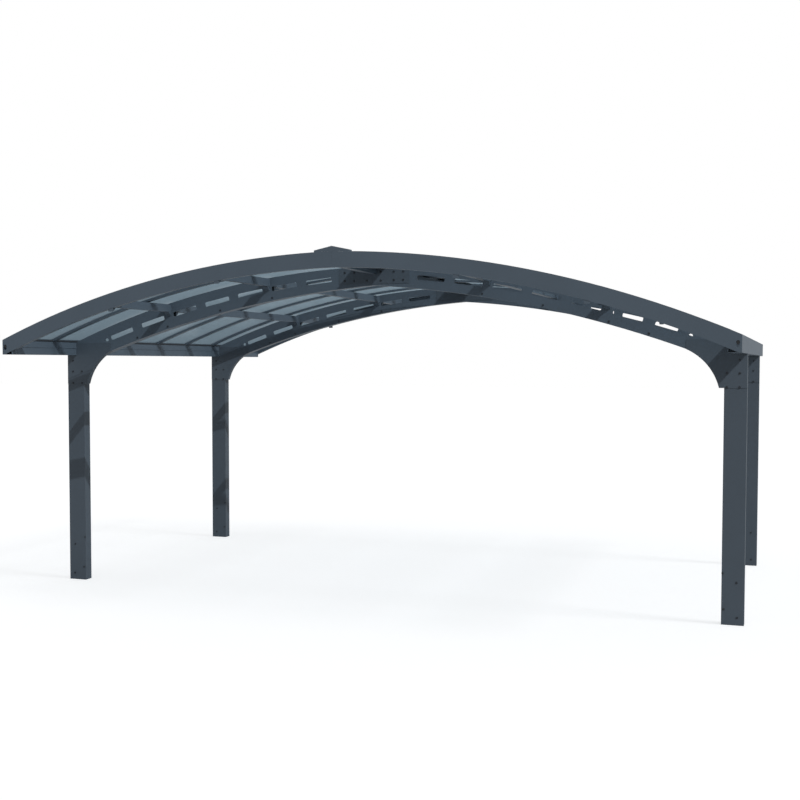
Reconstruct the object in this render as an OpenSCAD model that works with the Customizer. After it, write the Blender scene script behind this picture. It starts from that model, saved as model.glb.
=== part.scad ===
// Double carport: four posts carry two slotted portal arches. Purlins cross between the arches and
// carry curved glazing bars and sheets, edged by arched fascias at front and back and by a gutter
// along each eave. X runs across the carport, Y runs along the eaves, front at -Y, and Z is up.
// The origin is on the ground, midway between the posts. Sizes are in millimetres.

/* [Overall] */
// Width over the outer faces of the two gutters
width = 5790; // [5000:10:6400]
// Length over the front and back fascias
length = 4800; // [4000:10:5600]
// Height from the ground to the underside of the gutters
eave_h = 2010; // [1850:10:2300]

/* [Roof curve] */
// Radius of the top edge of each roof wing
roof_r = 7500; // [7000:50:8500]
// How far each wing's centre of curvature lies past the ridge
roof_shift = 125; // [0:5:200]

/* [Roof edge] */
// Height of the gutters
gutter_h = 120; // [100:5:140]
// Width of the gutters
gutter_w = 90; // [70:5:110]
// Depth of the fascias, measured square to the roof curve
fascia_h = 118; // [105:1:125]
// How far the fascia's lips reach in under the sheets
fascia_lip = 40; // [30:5:60]
// Sheet thickness of gutters and fascias
edge_wall = 2; // [1.5:0.5:3]
// Width of the upright drain slot at each end of a fascia
drain_w = 26; // [16:2:30]
// Height of the drain slot
drain_h = 44; // [32:2:60]

/* [Ridge] */
// Half width of the ridge cap and of the covers at its two ends
cap_half = 140; // [100:5:180]
// Height of the end covers' peak over the fascias' top edge at the ridge
cover_rise = 39; // [30:1:60]
// Height of the end covers' sides over the fascias' top edge at the ridge
cover_edge = 9; // [6:1:20]
// Depth of the end covers along the ridge
cover_d = 52; // [46:1:80]
// Height of the ridge cap's peak over the fascias' top edge
cap_rise = 6; // [4:1:10]
// Sheet thickness of cap and covers
cap_wall = 3; // [2:0.5:4]

/* [Posts] */
// Width of a post across the carport
post_w = 163; // [120:1:200]
// Depth of a post along the eaves, and of the arches it carries
post_d = 90; // [80:1:120]
// Wall thickness of the posts
post_wall = 3; // [2:0.5:5]
// Distance of each row of posts from the middle of the carport
row_y = 1410; // [1250:10:1600]

/* [Foot brackets] */
// Height of the foot bracket's cheeks inside the post
foot_h = 430; // [300:10:600]
// Thickness of the foot bracket
foot_wall = 5; // [4:1:8]
// Diameter of the anchor holes in the foot plate
anchor_d = 13; // [11:1:18]
// Distance between the two anchor holes
anchor_pitch = 90; // [60:5:110]

/* [Portal arches] */
// Radius of the arches' lower edge
arch_r = 8950; // [8500:50:9500]
// How far each half arch's centre of curvature lies past the ridge
arch_shift = 620; // [560:10:680]
// Height of the crown's underside over the ground
crown_h = 2570; // [2540:5:2600]
// Wall thickness of the arches and knee brackets
arch_wall = 3; // [2:0.5:4]
// Number of slots in each half arch
slot_count = 7; // [1:1:7]
// Distance between slots along the width
slot_pitch = 310; // [280:5:320]
// Length of a slot
slot_len = 230; // [160:5:250]
// Height of a slot
slot_h = 38; // [24:1:50]
// Radius of a slot's corners
slot_r = 11; // [4:1:12]
// Diameter of the cable hole between the last slot and the knee
cable_hole_d = 30; // [20:2:40]
// Distance of the cable hole from the last slot's middle
cable_hole_x = 150; // [140:2:160]
// Height of the lips that close in the open side of an arch
arch_lip = 16; // [12:1:24]
// Distance of the outermost slot's middle from the outer face of the gutter
slot_end = 555; // [520:5:600]
// Half length of the splice plates at the crown
splice_half = 300; // [200:5:330]
// Height of the splice plates
splice_h = 120; // [90:5:125]

/* [Knee brackets] */
// Depth of the strip along a knee's curved edge, behind the post's front face
knee_d = 45; // [30:5:80]
// Radius of the knee's curved edge
knee_r = 428; // [380:2:480]
// Distance from the gutter's outer face to where the knee meets the arch's edge
knee_reach = 470; // [460:5:500]
// Height of the knee brackets' lower end below the gutters
knee_drop = 253; // [220:1:280]
// Distance from the gutter's outer face to the inner end of the knee's cheeks
cheek_reach = 440; // [400:5:450]

/* [Purlins] */
// Width of purlins and ridge beam
purlin_w = 50; // [40:1:60]
// Height of purlins and ridge beam
purlin_h = 64; // [50:1:66]
// Wall thickness of purlins and ridge beam
purlin_wall = 2; // [1.5:0.5:3]
// Depth of the bars' underside below the fascias' top edge, where purlins and arches meet it
deck_drop = 40; // [36:1:44]

/* [Glazing] */
// Number of sheets along each wing
sheet_count = 8; // [6:1:10]
// Thickness of the roof sheets
sheet_t = 8; // [6:1:10]
// Depth of the sheets' upper face below the fascias' top edge
sheet_drop = 14; // [12:1:18]
// Width of a glazing bar
bar_w = 54; // [40:1:64]
// Width of the bar's web between two sheets
bar_web = 6; // [4:1:8]
// Thickness of the bar's cover strip
bar_cover = 4; // [3:1:6]
// Wall thickness of the bar's hollow base
bar_wall = 2; // [1.5:0.5:3]
// How far the sheets reach out over the gutter's inner wall
sheet_lap = 35; // [20:5:50]

/* [Hidden] */

// Facets of the long roof curves and of small round shapes
curve_fn = 720;
round_fn = 48;
// Clearance between pieces that are seated on each other
seat = 0.2;
// Half the gap between the two wings' glazing bars at the ridge
ridge_gap = 2;
// Reach of cutting shapes past what they cut
past = 10;

half_w = width / 2;
half_l = length / 2;
eave_top = eave_h + gutter_h;
gutter_in = half_w - gutter_w;
post_in = half_w - post_w;

// Height of each wing's centre of curvature, so that the curve meets the top of the gutter
roof_cz = eave_top - sqrt(pow(roof_r, 2) - pow(half_w + roof_shift, 2));
// The same for the lower edge of the arches, which meets the crown height at the ridge
arch_cz = crown_h - sqrt(pow(arch_r, 2) - pow(arch_shift, 2));

// Height of the roof curve at x, measured at a depth square to it
function roof_z(x, drop) = roof_cz + sqrt(pow(roof_r - drop, 2) - pow(abs(x) + roof_shift, 2));
// Height of the arch's lower edge at x
function arch_z(x) = arch_cz + sqrt(pow(arch_r, 2) - pow(abs(x) + arch_shift, 2));

ridge_z = roof_z(0, 0);
sheet_under = sheet_drop + sheet_t;
sheet_pitch = length / sheet_count;

// The knee's curve touches the arch's lower edge at this angle from the vertical
knee_turn = asin((half_w - knee_reach + arch_shift) / arch_r);
knee_cx = -arch_shift + (arch_r - knee_r) * sin(knee_turn);
knee_cz = arch_cz + (arch_r - knee_r) * cos(knee_turn);
knee_z = eave_h - knee_drop;
knee_in = knee_cx + sqrt(pow(knee_r, 2) - pow(knee_z - knee_cz, 2));
cheek_in = half_w - cheek_reach;

// Places of the two purlin lines, midway between slots
slot_x0 = half_w - slot_end;
lower_purlin_x = slot_x0 - 1.5 * slot_pitch;
upper_purlin_x = slot_x0 - 4.5 * slot_pitch;
// Faces that the purlins run between
fascia_face = half_l - edge_wall;
arch_out = row_y + post_d / 2;
arch_in = row_y - post_d / 2;

metal = "#4a555e";
metal_dark = "#3c464e";
sheet_tint = "#8fa3ae";

// Extrudes an outline drawn across the carport along the eaves, from y0 to y1
module along(y0, y1) {
    translate([0, y1, 0]) rotate([90, 0, 0]) linear_extrude(y1 - y0) children();
}

// Turns a piece drawn on the right into the one on the left or right
module on_side(side) {
    if (side == "left") mirror([1, 0, 0]) children();
    else children();
}

// Turns a piece drawn at the front into the one at the front or back
module on_end(end) {
    if (end == "back") mirror([0, 1, 0]) children();
    else children();
}

// The disc under the right wing's curve at a depth, with a facet's corner at x
module roof_disc(drop, x) {
    r = roof_r - drop;
    translate([-roof_shift, roof_cz])
        rotate(acos((x + roof_shift) / r)) circle(r, $fn = curve_fn);
}

// The disc under the right half arch, grown by an inset, with a facet's corner at x
module arch_disc(inset, x) {
    r = arch_r + inset;
    translate([-arch_shift, arch_cz])
        rotate(acos((x + arch_shift) / r)) circle(r, $fn = curve_fn);
}

// Outline of a strip along the right wing's curve from the ridge to x1, between two depths
module roof_band(drop0, drop1, x1) {
    intersection() {
        difference() {
            roof_disc(drop0, seat);
            roof_disc(drop1, seat);
        }
        translate([seat, eave_h]) square([x1 - seat, ridge_z]);
    }
}

// Sweeps a section along the right wing's curve from x0 to x1. The section's X is the height over
// the fascias' top edge, and its Y runs along the eaves.
module curved(x0, x1) {
    start = acos((x1 + roof_shift) / roof_r);
    end = acos((x0 + roof_shift) / roof_r);
    translate([-roof_shift, 0, roof_cz]) rotate([90, 0, 0]) rotate([0, 0, start])
        rotate_extrude(angle = end - start, $fn = curve_fn) translate([roof_r, 0]) children();
}

// ---- Posts and feet ----

// A hollow post, open at both ends, drawn at the front right
module post() {
    translate([post_in, -arch_out, 0]) difference() {
        cube([post_w, post_d, eave_h]);
        translate([post_wall, post_wall, -past])
            cube([post_w - 2 * post_wall, post_d - 2 * post_wall, eave_h + 2 * past]);
    }
}

// A folded foot inside the post: a plate with two anchor holes and a cheek at front and back
module foot() {
    inner_w = post_w - 2 * post_wall - 2 * seat;
    inner_d = post_d - 2 * post_wall - 2 * seat;
    translate([post_in + post_w / 2, -row_y, 0]) difference() {
        translate([-inner_w / 2, -inner_d / 2, 0]) cube([inner_w, inner_d, foot_h]);
        translate([-inner_w / 2 - past, -inner_d / 2 + foot_wall, foot_wall])
            cube([inner_w + 2 * past, inner_d - 2 * foot_wall, foot_h]);
        for (side = [-1, 1])
            translate([side * anchor_pitch / 2, 0, -past])
                cylinder(h = foot_wall + 2 * past, d = anchor_d, $fn = round_fn);
    }
}

// ---- Portal arches ----

// Outline of a half arch, which ends on the post's top and its inner face, drawn in by an inset
module arch_outline(inset) {
    edge = inset + seat;
    difference() {
        intersection() {
            roof_disc(deck_drop + edge, edge);
            translate([edge, knee_z]) square([gutter_in - 2 * edge, ridge_z]);
        }
        arch_disc(inset, post_in - edge);
        translate([post_in - edge, 0]) square([post_w, eave_h + edge]);
    }
}

// Moves an outline to the middle of the arch's web at x, turned to lie along it
module on_web(x) {
    z = (roof_z(x, deck_drop) + arch_z(x)) / 2;
    slope = (asin((x + roof_shift) / roof_r) + asin((x + arch_shift) / arch_r)) / 2;
    translate([x, z]) rotate(-slope) children();
}

// A slot with rounded corners
module slot_outline() {
    square([slot_len - 2 * slot_r, slot_h], center = true);
    square([slot_len, slot_h - 2 * slot_r], center = true);
    for (x = [-1, 1])
        for (y = [-1, 1])
            translate([x * (slot_len / 2 - slot_r), y * (slot_h / 2 - slot_r)])
                circle(slot_r, $fn = round_fn);
}

// A half arch: a slotted web facing the front, with two flanges and lips round its open inner side
module arch() {
    difference() {
        along(-arch_out, -arch_in) arch_outline(0);
        along(-arch_out + arch_wall, -arch_in - arch_wall) arch_outline(arch_wall);
        along(-arch_in - 2 * arch_wall, -arch_in + past) arch_outline(arch_lip);
        along(-arch_out - past, -arch_out + past) {
            for (i = [0 : slot_count - 1]) on_web(slot_x0 - i * slot_pitch) slot_outline();
            on_web(slot_x0 + cable_hole_x) circle(d = cable_hole_d, $fn = round_fn);
        }
    }
}

// Two plates that join the half arches across the crown, one on each web
module splice() {
    middle = (roof_z(splice_half, deck_drop) + crown_h) / 2;
    for (y = [-arch_out - seat - arch_wall, -arch_in + seat])
        translate([-splice_half, y, middle - splice_h / 2])
            cube([2 * splice_half, arch_wall, splice_h]);
}

// Outline of a knee bracket's cheek
module knee_outline() {
    cheek_top = roof_z(gutter_in, deck_drop) - past;
    difference() {
        translate([cheek_in, knee_z]) square([half_w - cheek_in, cheek_top - knee_z]);
        translate([knee_cx, knee_cz]) circle(knee_r, $fn = curve_fn);
        translate([gutter_in - seat, eave_h - seat]) square([2 * gutter_w, gutter_h]);
    }
}

// Outline of the strip that closes the knee's curved edge and lower end between its cheeks
module knee_strip_outline() {
    translate([knee_in, knee_z]) square([post_in - seat - knee_in, arch_wall]);
    intersection() {
        translate([knee_cx, knee_cz]) difference() {
            circle(knee_r + arch_wall, $fn = curve_fn);
            circle(knee_r, $fn = curve_fn);
        }
        translate([cheek_in, knee_z]) square([post_in - seat - cheek_in, knee_r]);
        arch_disc(-seat, post_in);
    }
}

// A knee bracket: a cheek on the front of post and arch, with a curved strip along its lower edge
module knee() {
    along(-arch_out - seat - arch_wall, -arch_out - seat) knee_outline();
    along(-arch_out - seat - arch_wall, -arch_out + knee_d) knee_strip_outline();
}

// ---- Roof edge ----

// An upright slot with round ends
module drain_outline() {
    straight = drain_h - drain_w;
    square([drain_w, straight], center = true);
    for (end = [-1, 1]) translate([0, end * straight / 2]) circle(d = drain_w, $fn = round_fn);
}

// A half fascia: a face with two lips and a ledge for the sheets, and a drain slot at its end
module fascia() {
    difference() {
        along(-half_l, -fascia_face) roof_band(0, fascia_h, half_w);
        along(-half_l - past, -fascia_face + past)
            translate([half_w - drain_w, eave_h + gutter_h / 2]) drain_outline();
    }
    along(-fascia_face, -half_l + fascia_lip) {
        roof_band(0, edge_wall, gutter_in - past);
        roof_band(sheet_under + seat, sheet_under + seat + edge_wall, gutter_in - past);
        roof_band(fascia_h - edge_wall, fascia_h, gutter_in - past);
    }
}

// A gutter: a trough with a lip on its outer wall, whose inner wall reaches up to the sheets and
// is notched for the glazing bars that rest on it
module gutter() {
    inner_h = roof_z(gutter_in + edge_wall, sheet_under) - seat - eave_h;
    notch_z = roof_z(gutter_in + edge_wall, deck_drop) - seat;
    notch_w = bar_w + edge_wall;
    lip = 6 * edge_wall;
    difference() {
        along(-fascia_face + seat, fascia_face - seat) {
            translate([gutter_in, eave_h]) square([gutter_w, edge_wall]);
            translate([gutter_in, eave_h]) square([edge_wall, inner_h]);
            translate([half_w - edge_wall, eave_h]) square([edge_wall, gutter_h]);
            translate([half_w - lip, eave_h + gutter_h - edge_wall]) square([lip, edge_wall]);
        }
        for (i = [1 : sheet_count - 1])
            translate([gutter_in - past, -half_l + i * sheet_pitch - notch_w / 2, notch_z])
                cube([2 * past, notch_w, inner_h]);
        for (end = [-1, 1])
            translate([gutter_in - past, end * half_l - fascia_lip, notch_z])
                cube([2 * past, 2 * fascia_lip, inner_h]);
    }
}

// ---- Purlins and ridge ----

// A rectangular tube from y0 to y1, with its top face just under the glazing bars
module purlin(x, y0, y1) {
    top = roof_z(x + purlin_w / 2, deck_drop) - seat;
    along(y0, y1) translate([x - purlin_w / 2, top - purlin_h]) difference() {
        square([purlin_w, purlin_h]);
        translate([purlin_wall, purlin_wall])
            square([purlin_w - 2 * purlin_wall, purlin_h - 2 * purlin_wall]);
    }
}

// The purlin across the bay outside the front arch
module outer_purlin(x) {
    purlin(x, -fascia_face + seat, -arch_out - seat);
}

// The purlin across the bay between the two arches
module middle_purlin(x) {
    purlin(x, -arch_in + seat, arch_in - seat);
}

// The ridge beam outside the front arch, which ends at the splice plate
module ridge_beam_outer() {
    purlin(0, -fascia_face + seat, -arch_out - arch_wall - 2 * seat);
}

// The ridge beam between the two arches
module ridge_beam_inner() {
    purlin(0, -arch_in + arch_wall + 2 * seat, arch_in - arch_wall - 2 * seat);
}

// The outline of both wings' roof curves together
module roof_outline() {
    for (side = [-1, 1])
        intersection() {
            mirror([side < 0 ? 1 : 0, 0]) roof_disc(-seat, cap_half);
            translate([side * half_w, ridge_z]) square(2 * half_w, center = true);
        }
}

// Outline of an end cover, drawn in by an inset
module cover_outline(inset) {
    polygon([
        [-cap_half + inset, ridge_z - past],
        [-cap_half + inset, ridge_z + cover_edge - inset],
        [0, ridge_z + cover_rise - inset],
        [cap_half - inset, ridge_z + cover_edge - inset],
        [cap_half - inset, ridge_z - past]
    ]);
}

// The cover over the joint of two half fascias, closed in front
module end_cover() {
    difference() {
        along(-half_l, -half_l + cover_d) cover_outline(0);
        along(-half_l + cap_wall, -half_l + cover_d + past) cover_outline(cap_wall);
        along(-half_l - past, -half_l + cover_d + past) roof_outline();
    }
}

// The covers at the two ends of the ridge
module end_covers() {
    end_cover();
    mirror([0, 1, 0]) end_cover();
}

// The ridge cap between the fascias: a bent sheet whose edges lie on the glazing bars' covers
module cap() {
    under = roof_z(cap_half, sheet_drop - bar_cover - 2 * seat);
    end = half_l - fascia_lip - seat;
    along(-end, end) polygon([
        [-cap_half, under],
        [-cap_half, under + cap_wall],
        [0, ridge_z + cap_rise],
        [cap_half, under + cap_wall],
        [cap_half, under],
        [0, ridge_z + cap_rise - cap_wall]
    ]);
}

// ---- Glazing ----

// Section of a glazing bar: a hollow base, a web between the sheets and a cover over their edges
module bar_section() {
    base_top = -sheet_under - seat;
    cover_under = -sheet_drop + seat;
    difference() {
        translate([-deck_drop, -bar_w / 2]) square([base_top + deck_drop, bar_w]);
        translate([-deck_drop + bar_wall, -bar_w / 2 + bar_wall])
            square([base_top + deck_drop - 2 * bar_wall, bar_w - 2 * bar_wall]);
    }
    translate([base_top - bar_wall / 2, -bar_web / 2])
        square([cover_under - base_top + bar_wall, bar_web]);
    translate([cover_under, -bar_w / 2]) square([bar_cover, bar_w]);
}

// The bars of the right wing, one between each pair of sheets
module bars() {
    for (i = [1 : sheet_count - 1])
        translate([0, -half_l + i * sheet_pitch, 0])
            curved(ridge_gap, gutter_in + sheet_lap) bar_section();
}

// The sheets of the right wing, each held between two bars or between a bar and a fascia
module sheets() {
    side_gap = bar_web / 2 + 1;
    for (i = [0 : sheet_count - 1]) {
        y0 = max(-half_l + i * sheet_pitch + side_gap, -fascia_face + seat);
        y1 = min(-half_l + (i + 1) * sheet_pitch - side_gap, fascia_face - seat);
        translate([0, (y0 + y1) / 2, 0]) curved(purlin_w / 2, gutter_in + sheet_lap)
            translate([-sheet_under, -(y1 - y0) / 2]) square([sheet_t, y1 - y0]);
    }
}

// Puts a piece drawn at the front right into its own corner, in its colour
module put(end, side, tint = metal) {
    color(tint) on_end(end) on_side(side) children();
}

// Places one row's arch or knee: both rows face the front
module put_row(end, side) {
    color(metal) translate([0, end == "back" ? 2 * row_y : 0, 0]) on_side(side) children();
}

put("front", "left") post();  // post_front_left
put("front", "right") post();  // post_front_right
put("back", "left") post();  // post_back_left
put("back", "right") post();  // post_back_right
put("front", "left", metal_dark) foot();  // foot_front_left
put("front", "right", metal_dark) foot();  // foot_front_right
put("back", "left", metal_dark) foot();  // foot_back_left
put("back", "right", metal_dark) foot();  // foot_back_right
put_row("front", "left") knee();  // knee_front_left
put_row("front", "right") knee();  // knee_front_right
put_row("back", "left") knee();  // knee_back_left
put_row("back", "right") knee();  // knee_back_right
put_row("front", "left") arch();  // arch_front_left
put_row("front", "right") arch();  // arch_front_right
put_row("back", "left") arch();  // arch_back_left
put_row("back", "right") arch();  // arch_back_right
put("front", "right") splice();  // splice_front
put("back", "right") splice();  // splice_back
put("front", "left") fascia();  // fascia_front_left
put("front", "right") fascia();  // fascia_front_right
put("back", "left") fascia();  // fascia_back_left
put("back", "right") fascia();  // fascia_back_right
put("front", "left") gutter();  // gutter_left
put("front", "right") gutter();  // gutter_right
put("front", "left") outer_purlin(lower_purlin_x);  // purlin_left_lower_front
put("front", "left") middle_purlin(lower_purlin_x);  // purlin_left_lower_middle
put("back", "left") outer_purlin(lower_purlin_x);  // purlin_left_lower_back
put("front", "left") outer_purlin(upper_purlin_x);  // purlin_left_upper_front
put("front", "left") middle_purlin(upper_purlin_x);  // purlin_left_upper_middle
put("back", "left") outer_purlin(upper_purlin_x);  // purlin_left_upper_back
put("front", "right") outer_purlin(lower_purlin_x);  // purlin_right_lower_front
put("front", "right") middle_purlin(lower_purlin_x);  // purlin_right_lower_middle
put("back", "right") outer_purlin(lower_purlin_x);  // purlin_right_lower_back
put("front", "right") outer_purlin(upper_purlin_x);  // purlin_right_upper_front
put("front", "right") middle_purlin(upper_purlin_x);  // purlin_right_upper_middle
put("back", "right") outer_purlin(upper_purlin_x);  // purlin_right_upper_back
put("front", "right") ridge_beam_outer();  // ridge_beam_front
put("front", "right") ridge_beam_inner();  // ridge_beam_middle
put("back", "right") ridge_beam_outer();  // ridge_beam_back
put("front", "right") cap();  // ridge_cap
put("front", "right") end_covers();  // ridge_end_covers
put("front", "left") bars();  // bars_left
put("front", "right") bars();  // bars_right
put("front", "left", sheet_tint) sheets();  // sheets_left
put("front", "right", sheet_tint) sheets();  // sheets_right
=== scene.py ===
# %% [markdown]
# # A double carport, from its metal frame to its screws
#
# A carport is a roof on posts. This one has four posts, two slotted arches and a roof of tinted
# plastic sheets, and all of those come from the construction model, at their real size. This
# lesson adds what the construction model leaves out: bolts, cleats, gaskets, ribs and screws, and
# the finish of every surface. X runs across the carport, Y along the eaves and Z is up.

# %% Load the frame
import math
import bpy
from mathutils import Matrix, Vector


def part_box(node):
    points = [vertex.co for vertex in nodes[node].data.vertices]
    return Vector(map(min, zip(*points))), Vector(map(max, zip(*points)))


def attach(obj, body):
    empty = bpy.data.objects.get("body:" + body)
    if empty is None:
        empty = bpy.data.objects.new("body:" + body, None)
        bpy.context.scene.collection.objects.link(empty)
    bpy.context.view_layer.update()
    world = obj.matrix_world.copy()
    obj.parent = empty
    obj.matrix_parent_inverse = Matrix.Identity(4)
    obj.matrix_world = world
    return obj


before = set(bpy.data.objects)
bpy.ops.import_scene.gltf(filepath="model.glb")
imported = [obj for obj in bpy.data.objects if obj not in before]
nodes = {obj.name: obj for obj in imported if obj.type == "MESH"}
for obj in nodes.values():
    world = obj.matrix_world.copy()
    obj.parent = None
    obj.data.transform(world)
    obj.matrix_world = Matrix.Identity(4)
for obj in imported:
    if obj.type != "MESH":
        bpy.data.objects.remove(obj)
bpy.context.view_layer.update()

scene = bpy.context.scene
scene.view_settings.view_transform = "Standard"

# %% [markdown]
# ## The lines that everything follows
#
# Each wing of the roof is part of a large circle whose centre lies a little past the ridge, and the
# lower edge of the arches follows a second circle. With the two radii and the corners of the
# frame, the height of any point along the roof can be worked out. The radii are repeated here from
# the construction model, in metres. One fault is left: the top of the gutter's box is its inner
# wall, 14 mm above the eave line, so all that follows roof_height lies about 14 mm too high.

# %% Roof and arch curves
ROOF_RADIUS = 7.5
ROOF_SHIFT = 0.125
ARCH_RADIUS = 8.95
ARCH_SHIFT = 0.62

gutter_low, gutter_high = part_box("gutter_right")
post_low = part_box("post_front_right")[0]
arch_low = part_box("arch_front_right")[0]
half_width = gutter_high.x
half_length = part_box("fascia_back_right")[1].y
eave_top = gutter_high.z
roof_centre_z = eave_top - math.sqrt(ROOF_RADIUS**2 - (half_width + ROOF_SHIFT) ** 2)
CROWN_HEIGHT = 2.57
arch_centre_z = CROWN_HEIGHT - math.sqrt(ARCH_RADIUS**2 - ARCH_SHIFT**2)


def roof_height(x, drop=0.0):
    """Height of the roof curve at x, at a depth measured square to it, and 14 mm too high."""
    return roof_centre_z + math.sqrt((ROOF_RADIUS - drop) ** 2 - (abs(x) + ROOF_SHIFT) ** 2)


def roof_slope(x):
    """Angle by which the roof falls at x, in radians, always positive."""
    return math.asin((abs(x) + ROOF_SHIFT) / ROOF_RADIUS)


def arch_height(x):
    """Height of the arches' lower edge at x."""
    return arch_centre_z + math.sqrt(ARCH_RADIUS**2 - (abs(x) + ARCH_SHIFT) ** 2)


print("ridge", round(roof_height(0), 3), "eave", round(roof_height(half_width), 3))

# %% [markdown]
# ## Camera, light and floor
#
# The camera stands at eye level, a little to the right of the middle, so one sees the front
# arch, the underside of the left wing and all four posts. A sun lamp with a wide angle gives soft
# shadows to the left on the floor, and a second, crisp sun from the front right lights only the
# carport. A plain bright world fills everything else. The floor looks white to the camera but
# keeps part of its real shading, which is where the shadow shows.

# %% Camera
camera_data = bpy.data.cameras.new("camera")
camera = bpy.data.objects.new("camera", camera_data)
scene.collection.objects.link(camera)
scene.camera = camera
camera.location = (3.249, -10.750, 1.9445)
camera.rotation_euler = (math.radians(90 - 2.634), 0, math.radians(19.92))
camera_data.sensor_width = 36
camera_data.lens = 54.48
camera_data.shift_x = 0.05
camera_data.shift_y = 0.0228
camera_data.clip_end = 200
print("camera at", tuple(round(c, 2) for c in camera.location))

# %% Sun
sun_data = bpy.data.lights.new("sun", "SUN")
sun_data.energy = 0.85
sun_data.angle = math.radians(14)
sun = bpy.data.objects.new("sun", sun_data)
scene.collection.objects.link(sun)
sunlight = Vector((-0.885, 0.045, -1.0))
sun.rotation_euler = sunlight.to_track_quat("-Z", "Y").to_euler()
print("sun falls along", tuple(round(c, 2) for c in sunlight.normalized()))

# %% Key light: a crisp second sun from the front right, which leaves the floor alone
key_data = bpy.data.lights.new("key", "SUN")
key_data.energy = 2.8
key_data.angle = math.radians(0.4)
key = bpy.data.objects.new("key", key_data)
scene.collection.objects.link(key)
keylight = Vector((-0.885, 0.60, -1.0))
key.rotation_euler = keylight.to_track_quat("-Z", "Y").to_euler()
print("key falls along", tuple(round(c, 2) for c in keylight.normalized()))

# %% World: a plain light, and white where it is seen directly or through a sheet
WORLD_LIGHT = 0.42
world = bpy.data.worlds.new("world")
scene.world = world
world.use_nodes = True
tree = world.node_tree
tree.nodes.clear()
out = tree.nodes.new("ShaderNodeOutputWorld")
light = tree.nodes.new("ShaderNodeBackground")
light.inputs["Color"].default_value = (0.93, 0.965, 1.0, 1)
light.inputs["Strength"].default_value = WORLD_LIGHT
white = tree.nodes.new("ShaderNodeBackground")
white.inputs["Color"].default_value = (1, 1, 1, 1)
white.inputs["Strength"].default_value = 1.0
path = tree.nodes.new("ShaderNodeLightPath")
seen = tree.nodes.new("ShaderNodeMath")
seen.operation = "MAXIMUM"
mix = tree.nodes.new("ShaderNodeMixShader")
tree.links.new(path.outputs["Is Camera Ray"], seen.inputs[0])
tree.links.new(path.outputs["Is Transmission Ray"], seen.inputs[1])
tree.links.new(seen.outputs[0], mix.inputs["Fac"])
tree.links.new(light.outputs[0], mix.inputs[1])
tree.links.new(white.outputs[0], mix.inputs[2])
tree.links.new(mix.outputs[0], out.inputs["Surface"])
print("world light", WORLD_LIGHT)

# %% Floor: partly plain white, with a larger share of real shading that carries the shadow
bpy.ops.mesh.primitive_plane_add(size=160, location=(0, 0, 0))
floor = bpy.context.object
floor.name = "floor"
floor_paint = bpy.data.materials.new("floor_white")
floor_paint.use_nodes = True
tree = floor_paint.node_tree
tree.nodes.clear()
out = tree.nodes.new("ShaderNodeOutputMaterial")
matt = tree.nodes.new("ShaderNodeBsdfDiffuse")
matt.inputs["Color"].default_value = (0.85, 0.86, 0.87, 1)
glow = tree.nodes.new("ShaderNodeEmission")
glow.inputs["Color"].default_value = (1, 1, 1, 1)
glow.inputs["Strength"].default_value = 2.0
path = tree.nodes.new("ShaderNodeLightPath")
share = tree.nodes.new("ShaderNodeMath")
share.operation = "MULTIPLY"
share.inputs[1].default_value = 0.35
mix = tree.nodes.new("ShaderNodeMixShader")
tree.links.new(path.outputs["Is Camera Ray"], share.inputs[0])
tree.links.new(share.outputs[0], mix.inputs["Fac"])
tree.links.new(matt.outputs[0], mix.inputs[1])
tree.links.new(glow.outputs[0], mix.inputs[2])
tree.links.new(mix.outputs[0], out.inputs["Surface"])
floor.data.materials.append(floor_paint)
not_by_key = bpy.data.collections.new("not_by_key")
not_by_key.objects.link(floor)
key.light_linking.receiver_collection = not_by_key
not_by_key.collection_objects[0].light_linking.link_state = "EXCLUDE"
print("floor", floor.dimensions.x, "m wide")

# %% [markdown]
# ## Finishes
#
# The metal is powder coated. Powder coat is a baked plastic skin: it is even in colour, half matt,
# and close up it has the faint waviness of orange peel. A noise pattern shifts the colour and the
# roughness by a few per cent, and a much finer one drives a very shallow bump.


# %% Powder coat
def powder_coat(name, colour, roughness):
    """A coated metal of one colour, with faint waviness and small changes of tone."""
    paint = bpy.data.materials.new(name)
    paint.use_nodes = True
    tree = paint.node_tree
    shader = tree.nodes["Principled BSDF"]
    place = tree.nodes.new("ShaderNodeTexCoord")
    cloud = tree.nodes.new("ShaderNodeTexNoise")
    cloud.inputs["Scale"].default_value = 1.7
    cloud.inputs["Detail"].default_value = 5
    tone = tree.nodes.new("ShaderNodeMapRange")
    tone.inputs["To Min"].default_value = 0.88
    tone.inputs["To Max"].default_value = 1.12
    tint = tree.nodes.new("ShaderNodeMix")
    tint.data_type = "RGBA"
    tint.blend_type = "MULTIPLY"
    tint.inputs["Factor"].default_value = 1.0
    tint.inputs["A"].default_value = (*colour, 1)
    gloss = tree.nodes.new("ShaderNodeMapRange")
    gloss.inputs["To Min"].default_value = roughness - 0.05
    gloss.inputs["To Max"].default_value = roughness + 0.07
    peel = tree.nodes.new("ShaderNodeTexNoise")
    peel.inputs["Scale"].default_value = 420
    peel.inputs["Detail"].default_value = 2
    bump = tree.nodes.new("ShaderNodeBump")
    bump.inputs["Strength"].default_value = 0.12
    bump.inputs["Distance"].default_value = 0.0004
    link = tree.links.new
    link(place.outputs["Object"], cloud.inputs["Vector"])
    link(place.outputs["Object"], peel.inputs["Vector"])
    link(cloud.outputs["Fac"], tone.inputs["Value"])
    link(tone.outputs["Result"], tint.inputs["B"])
    link(tint.outputs["Result"], shader.inputs["Base Color"])
    link(cloud.outputs["Fac"], gloss.inputs["Value"])
    link(gloss.outputs["Result"], shader.inputs["Roughness"])
    link(peel.outputs["Fac"], bump.inputs["Height"])
    link(bump.outputs["Normal"], shader.inputs["Normal"])
    return paint


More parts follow.
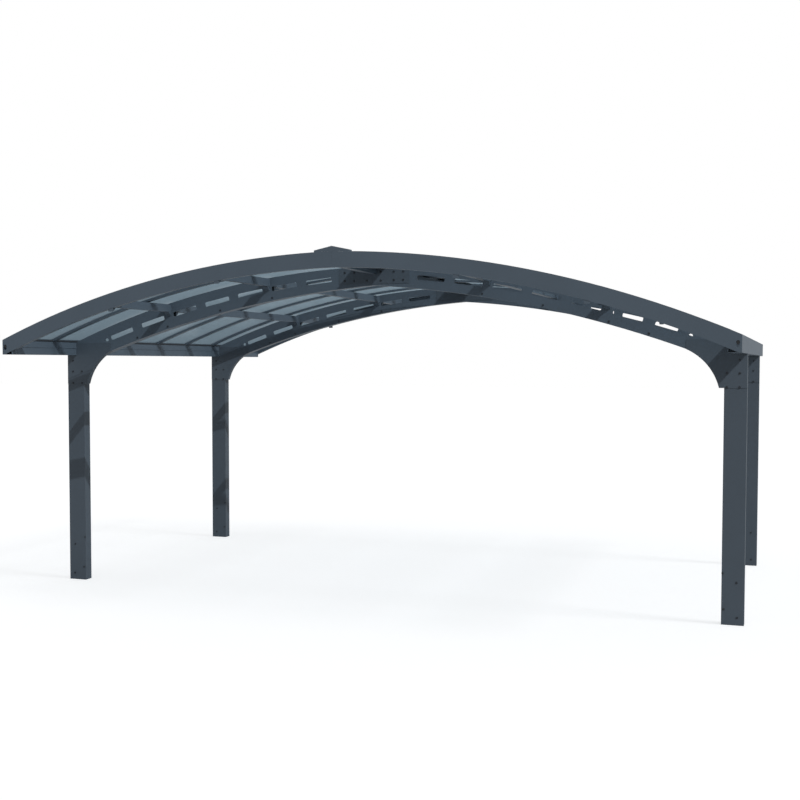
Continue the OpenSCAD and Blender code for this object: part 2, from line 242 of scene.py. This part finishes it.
frame_paint = powder_coat("frame_paint", (0.060, 0.081, 0.104), 0.42)
post_paint = powder_coat("post_paint", (0.050, 0.066, 0.084), 0.45)
print("powder coats:", frame_paint.name, post_paint.name)

# %% [markdown]
# ## Tinted sheets
#
# The sheets are grey-blue polycarbonate. One sees only a little of the sky through them, but the
# sun still gets through, so purlins and bars throw crisp shadows on the metal below. To the
# eye the sheet is a mix of tinted clear plastic, a soft diffuse body and a glossy skin, and
# to the sun it is almost clear, which Light Path's Is Shadow Ray tells apart.

# %% Sheet plastic
def sheet_plastic():
    """Tinted sheet: dim and glossy to look at, and almost clear to the sun's rays."""
    plastic = bpy.data.materials.new("sheet_plastic")
    plastic.use_nodes = True
    tree = plastic.node_tree
    shader = tree.nodes["Principled BSDF"]
    out = tree.nodes["Material Output"]
    shader.inputs["Base Color"].default_value = (0.20, 0.25, 0.28, 1)
    shader.inputs["Roughness"].default_value = 0.22
    shader.inputs["IOR"].default_value = 1.58
    clear = tree.nodes.new("ShaderNodeBsdfTransparent")
    clear.inputs["Color"].default_value = (0.42, 0.52, 0.58, 1)
    glow = tree.nodes.new("ShaderNodeBsdfTranslucent")
    glow.inputs["Color"].default_value = (0.28, 0.34, 0.38, 1)
    filter_tint = tree.nodes.new("ShaderNodeBsdfTransparent")
    filter_tint.inputs["Color"].default_value = (0.93, 0.95, 0.96, 1)
    body = tree.nodes.new("ShaderNodeMixShader")
    body.inputs["Fac"].default_value = 0.60
    look = tree.nodes.new("ShaderNodeMixShader")
    look.inputs["Fac"].default_value = 0.12
    path = tree.nodes.new("ShaderNodeLightPath")
    rays = tree.nodes.new("ShaderNodeMixShader")
    link = tree.links.new
    link(shader.outputs[0], body.inputs[1])
    link(glow.outputs[0], body.inputs[2])
    link(body.outputs[0], look.inputs[1])
    link(clear.outputs[0], look.inputs[2])
    link(path.outputs["Is Shadow Ray"], rays.inputs["Fac"])
    link(look.outputs[0], rays.inputs[1])
    link(filter_tint.outputs[0], rays.inputs[2])
    link(rays.outputs[0], out.inputs["Surface"])
    return plastic


sheet_tint = sheet_plastic()
print("sheet material:", sheet_tint.name)

# %% Galvanised steel of the feet
foot_zinc = powder_coat("foot_zinc", (0.42, 0.43, 0.44), 0.38)
foot_zinc.node_tree.nodes["Principled BSDF"].inputs["Metallic"].default_value = 0.9

# %% Give every construction piece its finish
for name, node in nodes.items():
    if name.startswith("sheets"):
        finish = sheet_tint
    elif name.startswith("foot"):
        finish = foot_zinc
    elif name.startswith(("post", "knee", "splice")):
        finish = post_paint
    else:
        finish = frame_paint
    node.data.materials.clear()
    node.data.materials.append(finish)
print("finished", len(nodes), "construction pieces")

# %% Rubber and bolt finishes
rubber = powder_coat("rubber", (0.012, 0.013, 0.015), 0.75)
bolt_zinc = powder_coat("bolt_zinc", (0.05, 0.055, 0.062), 0.35)
bolt_zinc.node_tree.nodes["Principled BSDF"].inputs["Metallic"].default_value = 0.8
print("small parts:", rubber.name, bolt_zinc.name)

# %% [markdown]
# ## Bolts
#
# A bolt is a flat washer with a six-sided head on it. One master bolt is made: the head's
# upper rim is bevelled, as on a forged bolt, and the washer gets a smaller bevel. Copies of the
# master's mesh are then turned to face out of the metal and joined in one object for each post.


# %% Tools for small parts
def only(piece):
    """Makes one object the selected and active one."""
    bpy.ops.object.select_all(action="DESELECT")
    piece.select_set(True)
    bpy.context.view_layer.objects.active = piece


def finished(pieces, name, finish):
    """Joins pieces in one object at the origin, with a finish, and lets it ride on the frame."""
    bpy.ops.object.select_all(action="DESELECT")
    for piece in pieces:
        piece.select_set(True)
    bpy.context.view_layer.objects.active = pieces[0]
    if len(pieces) > 1:
        bpy.ops.object.join()
    whole = bpy.context.object
    whole.name = name
    bpy.ops.object.transform_apply(location=True, rotation=True, scale=True)
    whole.data.materials.clear()
    whole.data.materials.append(finish)
    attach(whole, "root")
    return whole


def bolt_master(size):
    """A hexagon head on a washer, pointing along Z, with its underside at z = 0."""
    bpy.ops.mesh.primitive_cylinder_add(
        vertices=20, radius=size, depth=size * 0.22, location=(0, 0, size * 0.11)
    )
    washer = bpy.context.object
    soften(washer, size * 0.06)
    bpy.ops.mesh.primitive_cylinder_add(
        vertices=6, radius=size * 0.62, depth=size * 0.42, location=(0, 0, size * 0.43)
    )
    head = bpy.context.object
    soften(head, size * 0.09)
    bpy.ops.object.select_all(action="DESELECT")
    head.select_set(True)
    washer.select_set(True)
    bpy.context.view_layer.objects.active = washer
    bpy.ops.object.join()
    return bpy.context.object


def soften(piece, width, segments=2):
    """Bevels every sharp edge of a piece."""
    only(piece)
    bpy.ops.object.transform_apply(location=True, rotation=True, scale=True)
    bevel = piece.modifiers.new("bevel", "BEVEL")
    bevel.width = width
    bevel.segments = segments
    bpy.ops.object.modifier_apply(modifier=bevel.name)


def copies(master, places):
    """Copies of a master, each with its own mesh, at places and pointing along directions."""
    made = []
    for place, direction in places:
        twin = master.copy()
        twin.data = master.data.copy()
        scene.collection.objects.link(twin)
        twin.location = place
        twin.rotation_mode = "QUATERNION"
        twin.rotation_quaternion = Vector(direction).to_track_quat("Z", "X")
        made.append(twin)
    return made


BOLT_RADIUS = 0.009
small_bolt = bolt_master(BOLT_RADIUS)
print("bolt faces", len(small_bolt.data.polygons))

# %% Bolts of the posts, knees and arches
face_y = -post_low.y
post_bolts = (
    (0.054, 1.962), (0.054, 1.866), (0.144, 1.866), (0.054, 1.763), (0.144, 1.763),
    (0.056, 0.318), (0.156, 0.384), (0.050, 0.058), (0.146, 0.116),
)
ARCH_BOLT_PLACES = (2.186, 1.887, 1.382, 0.9)
ARCH_BOLT_RISE = 0.022
KNEE_BOTTOM = 1.7
knee_face = -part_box("knee_front_right")[0].y
arch_face = -arch_low.y
row_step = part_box("arch_back_right")[0].y - arch_low.y
for x_side in (-1, 1):
    for row, label in ((0.0, "front"), (row_step, "back")):
        label += "_left" if x_side < 0 else "_right"
        places = []
        for inset, height in post_bolts:
            face = knee_face if height > KNEE_BOTTOM else face_y
            places.append(((x_side * (half_width - inset), row - face, height), (0, -1, 0)))
        finished(copies(small_bolt, places), f"bolts_post_{label}", bolt_zinc)
        places = [
            ((x_side * x, row - arch_face, arch_height(x) + ARCH_BOLT_RISE), (0, -1, 0))
            for x in ARCH_BOLT_PLACES
        ]
        finished(copies(small_bolt, places), f"bolts_arch_{label}", bolt_zinc)
print("bolts on both rows,", round(row_step, 3), "m apart")

# %% Black discs in the fascias' drain slots: painted shade that stands for the dark inside the holes
hole_shade_discs = []
for x_side in (-1, 1):
    for y_side in (-1, 1):
        bpy.ops.mesh.primitive_cylinder_add(
            vertices=24,
            radius=0.0122,
            depth=0.009,
            location=(x_side * (half_width - 0.026), y_side * (half_length - 0.006), eave_top - 0.06),
            rotation=(math.radians(90), 0, 0),
        )
        hole_shade_disc = bpy.context.object
        hole_shade_disc.scale = (1, 1.7, 1)
        soften(hole_shade_disc, 0.002)
        hole_shade_discs.append(hole_shade_disc)
# The discs are painted shade: the black rubber finish marks where the drain holes read dark
finished(hole_shade_discs, "drain_hole_shade_discs", rubber)
print("hole_shade_discs", len(hole_shade_discs))

# %% Bolts of the two crown splices
splice_low, splice_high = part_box("splice_front")
for label, y_side in (("front", -1), ("back", 1)):
    middle = (splice_low.z + splice_high.z) / 2
    places = [
        ((x, y_side * -splice_low.y, middle + dz), (0, y_side, 0))
        for x in (-0.25, -0.17, -0.06, 0.06, 0.17, 0.25)
        for dz in (-0.034, 0.034)
    ]
    finished(copies(small_bolt, places), f"bolts_splice_{label}", bolt_zinc)
print("splice at", round(middle, 3))

# %% [markdown]
# ## Purlin cleats
#
# Each purlin ends at an arch or at a fascia, where a small angle of bent sheet carries it. The
# cleat is a box whose lower edge is raised at the end away from that face, which leaves a
# sloping bracket.

# %% Cleats below the purlins' ends
def cleat(centre_x, face_y, away, low_z):
    """A bracket against a face at face_y, reaching away from it below a purlin."""
    depth = 0.045
    wide = 0.044
    tall = 0.034
    bpy.ops.mesh.primitive_cube_add(
        size=1, location=(centre_x, face_y + away * depth / 2, low_z - tall / 2)
    )
    piece = bpy.context.object
    piece.scale = (wide, depth, tall)
    bpy.ops.object.transform_apply(location=True, rotation=False, scale=True)
    far = face_y + away * depth
    for corner in piece.data.vertices:
        if abs(corner.co.y - far) < 0.001 and corner.co.z < low_z - 0.01:
            corner.co.z = low_z - 0.004
    soften(piece, 0.0012)
    return piece


cleats = []
for name in nodes:
    if not name.startswith("purlin"):
        continue
    low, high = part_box(name)
    for y, away in ((low.y, 1), (high.y, -1)):
        cleats.append(cleat((low.x + high.x) / 2, y, away, low.z - 0.0004))
finished(cleats, "purlin_cleats", frame_paint)
print("cleats", len(cleats))

# %% [markdown]
# ## Gaskets along the glazing bars
#
# A black rubber lip runs down both sides of each bar, between its cover and the sheets. It is a
# narrow flat strip that bends with the roof: it starts as a long box, is subdivided along the
# roof, and is raised to the roof's curve point by point.

# %% Rubber strips beside the bars
SHEETS = 8
GASKET_SIDE = 0.0295
GASKET_DROP = 0.0115
GASKET_SIZE = 0.004
pitch = 2 * half_length / SHEETS


def bent_strip(x0, x1, y, wide, drop, thick, steps=28):
    """A strip from x0 to x1 along y that follows the roof at a depth below its curve."""
    bpy.ops.mesh.primitive_cube_add(size=1, location=((x0 + x1) / 2, y, 0))
    strip = bpy.context.object
    strip.scale = (abs(x1 - x0), wide, thick)
    bpy.ops.object.transform_apply(location=True, rotation=False, scale=True)
    bpy.ops.object.mode_set(mode="EDIT")
    bpy.ops.mesh.select_mode(type="EDGE")
    bpy.ops.mesh.select_all(action="DESELECT")
    bpy.ops.object.mode_set(mode="OBJECT")
    for edge in strip.data.edges:
        ends = [strip.data.vertices[i].co.x for i in edge.vertices]
        edge.select = abs(ends[0] - ends[1]) > abs(x1 - x0) / 2
    bpy.ops.object.mode_set(mode="EDIT")
    bpy.ops.mesh.subdivide(number_cuts=steps)
    bpy.ops.object.mode_set(mode="OBJECT")
    for corner in strip.data.vertices:
        corner.co.z += roof_height(corner.co.x, drop)
    only(strip)
    return strip


for label, x_side in (("left", -1), ("right", 1)):
    strips = []
    for i in range(1, SHEETS):
        for edge_side in (-1, 1):
            y = -half_length + i * pitch + edge_side * GASKET_SIDE
            start, end = x_side * 0.16, x_side * (half_width - 0.10)
            strips.append(bent_strip(start, end, y, GASKET_SIZE, GASKET_DROP, GASKET_SIZE))
    finished(strips, f"gaskets_{label}", rubber)
print("gasket strips", 4 * (SHEETS - 1))

# %% [markdown]
# ## Seals, ribs and screws
#
# A black seal runs along the joint between the gutter and the sheets, and a shallow rib along the
# gutter's wall. Both are one strip from end to end and pass through the arches' ends. On the
# roof, screws follow the cover strips over the joints of the sheets.

# %% Eave seals and gutter ribs: long strips on the gutters' inner faces
def long_strip(x, z, wide, tall, soft):
    """A bevelled strip along the eave, centred at x and z."""
    bpy.ops.mesh.primitive_cube_add(size=1, location=(x, 0, z))
    strip = bpy.context.object
    strip.scale = (wide, 2 * half_length - 0.12, tall)
    soften(strip, soft)
    return strip


gutter_in = gutter_low.x
BAR_DROP = 0.040
seal_top = roof_height(gutter_in, BAR_DROP)
seal_x = gutter_in - 0.0032
seals = [long_strip(s * seal_x, seal_top - 0.0075, 0.006, 0.010, 0.001) for s in (-1, 1)]
finished(seals, "eave_seals", rubber)
rib_z = (gutter_low.z + seal_top) / 2
rib_x = gutter_in - 0.0017
ribs = [long_strip(s * rib_x, rib_z, 0.003, 0.009, 0.0012) for s in (-1, 1)]
finished(ribs, "gutter_ribs", frame_paint)
print("eave seals under", round(seal_top, 3))

# %% Screws along the cover strips
COVER_SCREW_PLACES = (0.35, 0.90, 1.45, 2.00)
COVER_DROP = 0.0098
for label, x_side in (("left", -1), ("right", 1)):
    places = []
    for i in range(1, SHEETS):
        for x in COVER_SCREW_PLACES:
            lean = roof_slope(x)
            top = (x_side * x, -half_length + i * pitch, roof_height(x, COVER_DROP))
            places.append((top, (x_side * math.sin(lean), 0, math.cos(lean))))
    finished(copies(small_bolt, places), f"cover_screws_{label}", bolt_zinc)
print("cover screws", 2 * len(places))

# %% Remove the master bolt
bpy.data.objects.remove(small_bolt)
print("master removed")
